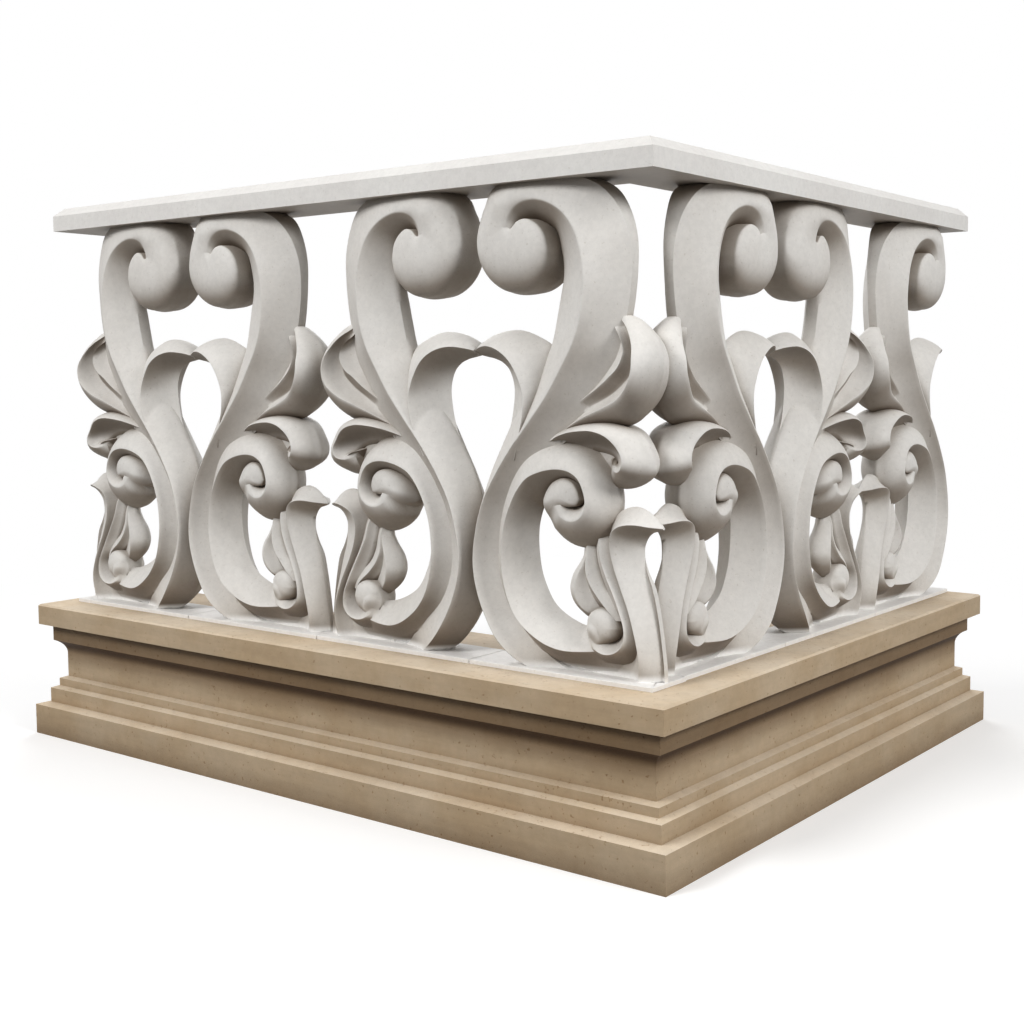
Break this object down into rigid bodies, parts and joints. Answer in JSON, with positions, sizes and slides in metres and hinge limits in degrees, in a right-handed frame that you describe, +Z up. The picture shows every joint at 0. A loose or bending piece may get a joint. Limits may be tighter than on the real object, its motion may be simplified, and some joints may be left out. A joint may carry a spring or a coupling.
{
  "type": "stone balustrade corner",
  "caption": "Corner length of a stone balustrade: moulded plinth, openwork scroll balusters with leaves, and a bevelled handrail.",
  "frame": {"origin": "underside of the foot course, straight below the point where the two baluster centrelines cross", "axes": "+Z up; the longer arm runs towards -X with its front facing -Y, the shorter arm runs towards +Y with its front facing +X"},
  "size_m": [1.4469, 1.1573, 1],
  "materials": {
    "plinth_stone": "honed beige limestone with fine pores, matte",
    "baluster_stone": "smooth carved pale stone, matte",
    "rail_stone": "smooth white stone, matte"
  },
  "bodies": {
    "root": {"foot_course_left": "plinth_stone", "foot_course_right": "plinth_stone", "lower_step_left": "plinth_stone", "lower_step_right": "plinth_stone", "upper_step_left": "plinth_stone", "upper_step_right": "plinth_stone", "dado_left": "plinth_stone", "dado_right": "plinth_stone", "cornice_left": "plinth_stone", "cornice_right": "plinth_stone", "cap_slab_left": "plinth_stone", "cap_slab_right": "plinth_stone", "baluster_left_1": "baluster_stone", "baluster_left_2": "baluster_stone", "baluster_left_3": "baluster_stone", "baluster_left_4": "baluster_stone", "baluster_right_1": "baluster_stone", "baluster_right_2": "baluster_stone", "baluster_right_3": "baluster_stone", "handrail_left": "rail_stone", "handrail_right": "rail_stone"}
  },
  "joints": []
}
